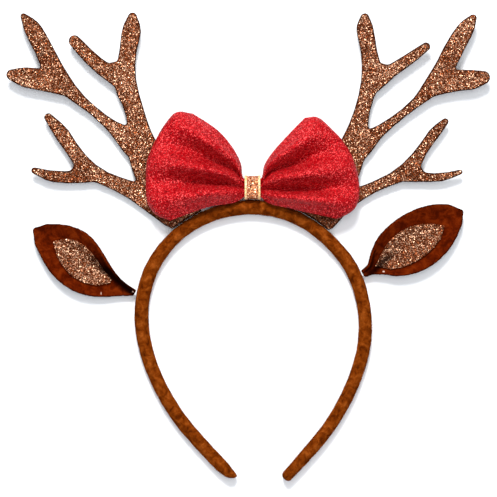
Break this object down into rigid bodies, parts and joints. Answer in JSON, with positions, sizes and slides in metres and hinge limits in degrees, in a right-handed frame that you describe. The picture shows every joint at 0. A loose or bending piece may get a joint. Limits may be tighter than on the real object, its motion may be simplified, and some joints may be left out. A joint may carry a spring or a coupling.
{
  "type": "reindeer antler headband",
  "caption": "Felt-covered hoop headband with glittered antlers, cupped felt ears and a gathered ribbon bow, lying on its back.",
  "frame": {"origin": "middle of the object's outline, on the surface that it lies on", "axes": "+X to the wearer's left along the width, +Y towards the antlers' tips, +Z out of the front"},
  "size_m": [0.2563, 0.2484, 0.0247],
  "materials": {
    "band_felt": "brown felt with a short soft nap",
    "ear_felt": "dark reddish-brown felt",
    "brown_glitter": "fabric coated with copper-brown glitter",
    "red_glitter": "fabric coated with fine red glitter",
    "gold_glitter": "strip coated with gold glitter"
  },
  "bodies": {
    "root": {"band": "band_felt", "antler_left": "brown_glitter", "antler_right": "brown_glitter", "ear_left": "ear_felt", "ear_right": "ear_felt", "inner_ear_left": "brown_glitter", "inner_ear_right": "brown_glitter", "bow": "red_glitter", "bow_wrap": "gold_glitter"}
  },
  "joints": []
}
